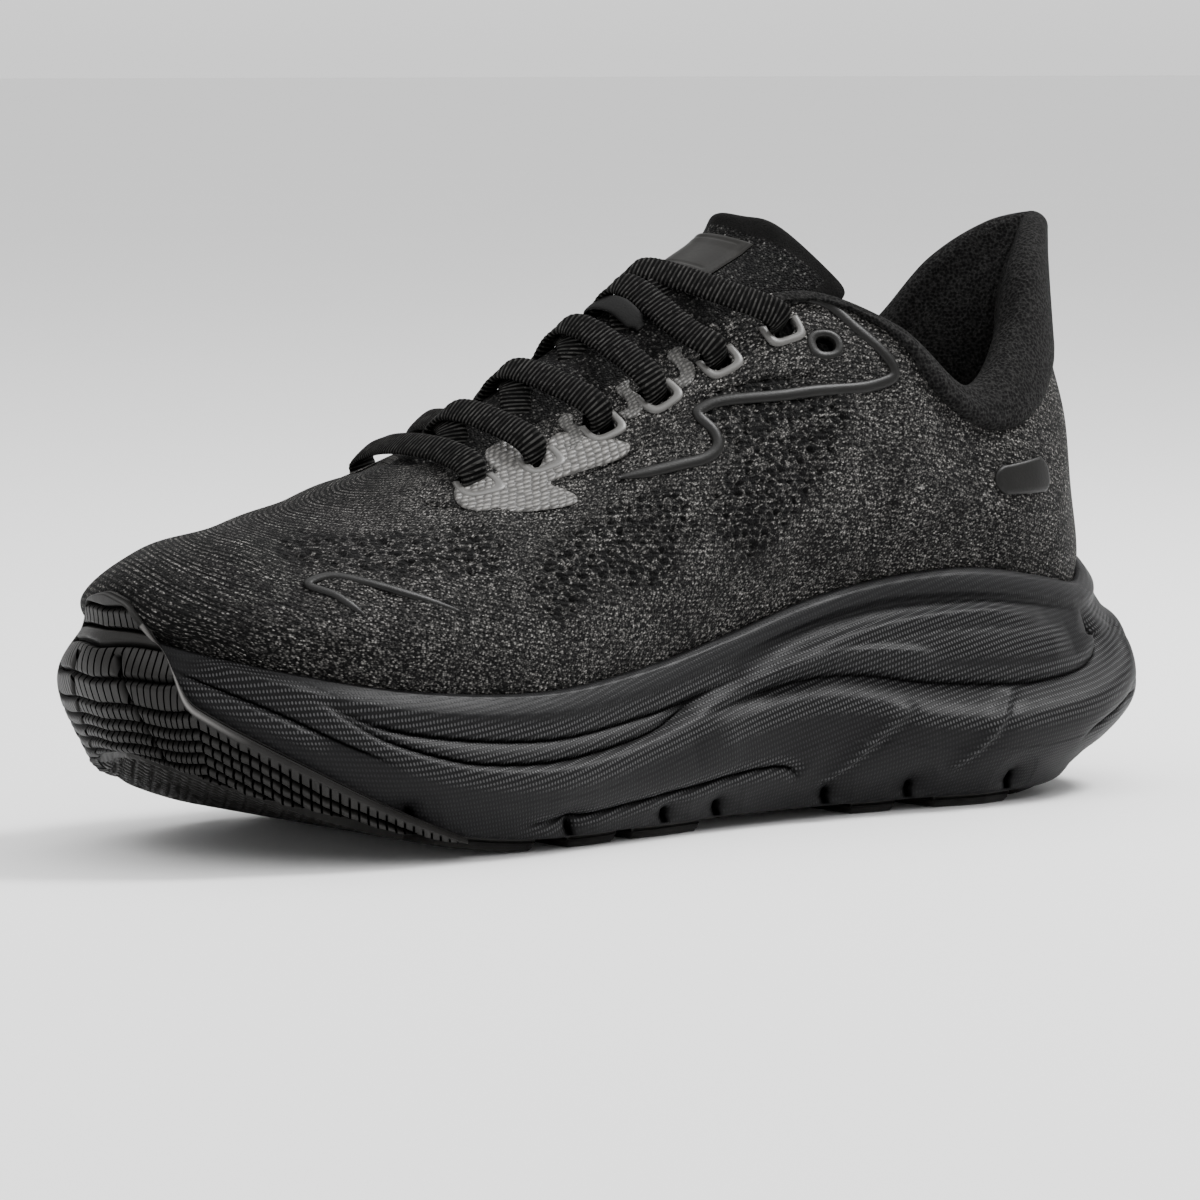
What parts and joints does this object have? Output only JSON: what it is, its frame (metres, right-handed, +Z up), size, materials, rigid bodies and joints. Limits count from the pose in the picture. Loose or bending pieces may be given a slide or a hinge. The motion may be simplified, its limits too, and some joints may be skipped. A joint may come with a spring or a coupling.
{
  "type": "running shoe",
  "caption": "Low black road running shoe for the right foot: thick curled foam sole, knitted upper, flared heel collar, laced tongue.",
  "frame": {"origin": "on the ground, under the middle of the shoe's box", "axes": "-X to the toe, -Y to the medial side, +Z up"},
  "size_m": [0.3054, 0.1175, 0.145],
  "materials": {
    "foam": "satin moulded foam",
    "rubber": "matt rubber",
    "knit": "engineered knit",
    "soft_knit": "soft brushed knit",
    "lining": "smooth lining",
    "padding": "open foam",
    "board": "pressed fibre",
    "stiffener": "matt sheet",
    "film": "satin welded film",
    "grey_film": "matt printed film",
    "lace": "ribbed flat braid",
    "tip": "gloss"
  },
  "bodies": {
    "shoe": {"midsole": "foam", "outsole_toe_cap": "rubber", "outsole_front_tread": "rubber", "pad_fore_medial_1": "rubber", "pad_fore_medial_2": "rubber", "pad_fore_medial_3": "rubber", "pad_fore_lateral_1": "rubber", "pad_fore_lateral_2": "rubber", "pad_fore_lateral_3": "rubber", "pad_mid_medial": "rubber", "pad_heel_medial": "rubber", "pad_heel_lateral": "rubber", "pad_heel_rear": "rubber", "strobel_board": "board", "sockliner": "lining", "upper_shell": "knit", "toe_puff": "stiffener", "heel_counter": "stiffener", "collar_foam": "padding", "collar_lining": "lining", "topline_binding": "soft_knit", "eyestay_medial": "film", "eyestay_lateral": "film", "eyelet_rims_medial": "grey_film", "eyelet_rims_lateral": "grey_film", "edge_tabs_medial": "grey_film", "edge_tabs_lateral": "grey_film", "vamp_overlay_medial": "grey_film", "vamp_overlay_lateral": "grey_film", "quarter_bead_medial": "film", "quarter_bead_lateral": "film", "toe_bead_medial": "film", "toe_bead_lateral": "film", "heel_badge_medial": "film", "heel_badge_lateral": "film", "tongue_body": "knit", "tongue_gusset_medial": "lining", "tongue_gusset_lateral": "lining", "lace_keeper": "film", "lace": "lace", "aglets": "tip"},
    "tongue_top": {"tongue_pad": "soft_knit", "tongue_label": "film"}
  },
  "joints": [
    {"name": "tongue_flap", "type": "hinge", "parent": "shoe", "child": "tongue_top", "pos_m": [0.022, 0, 0.1325], "axis": [0, -1, 0], "range_deg": [-15, 40], "stiffness_Nm_per_rad": 0.05}
  ]
}
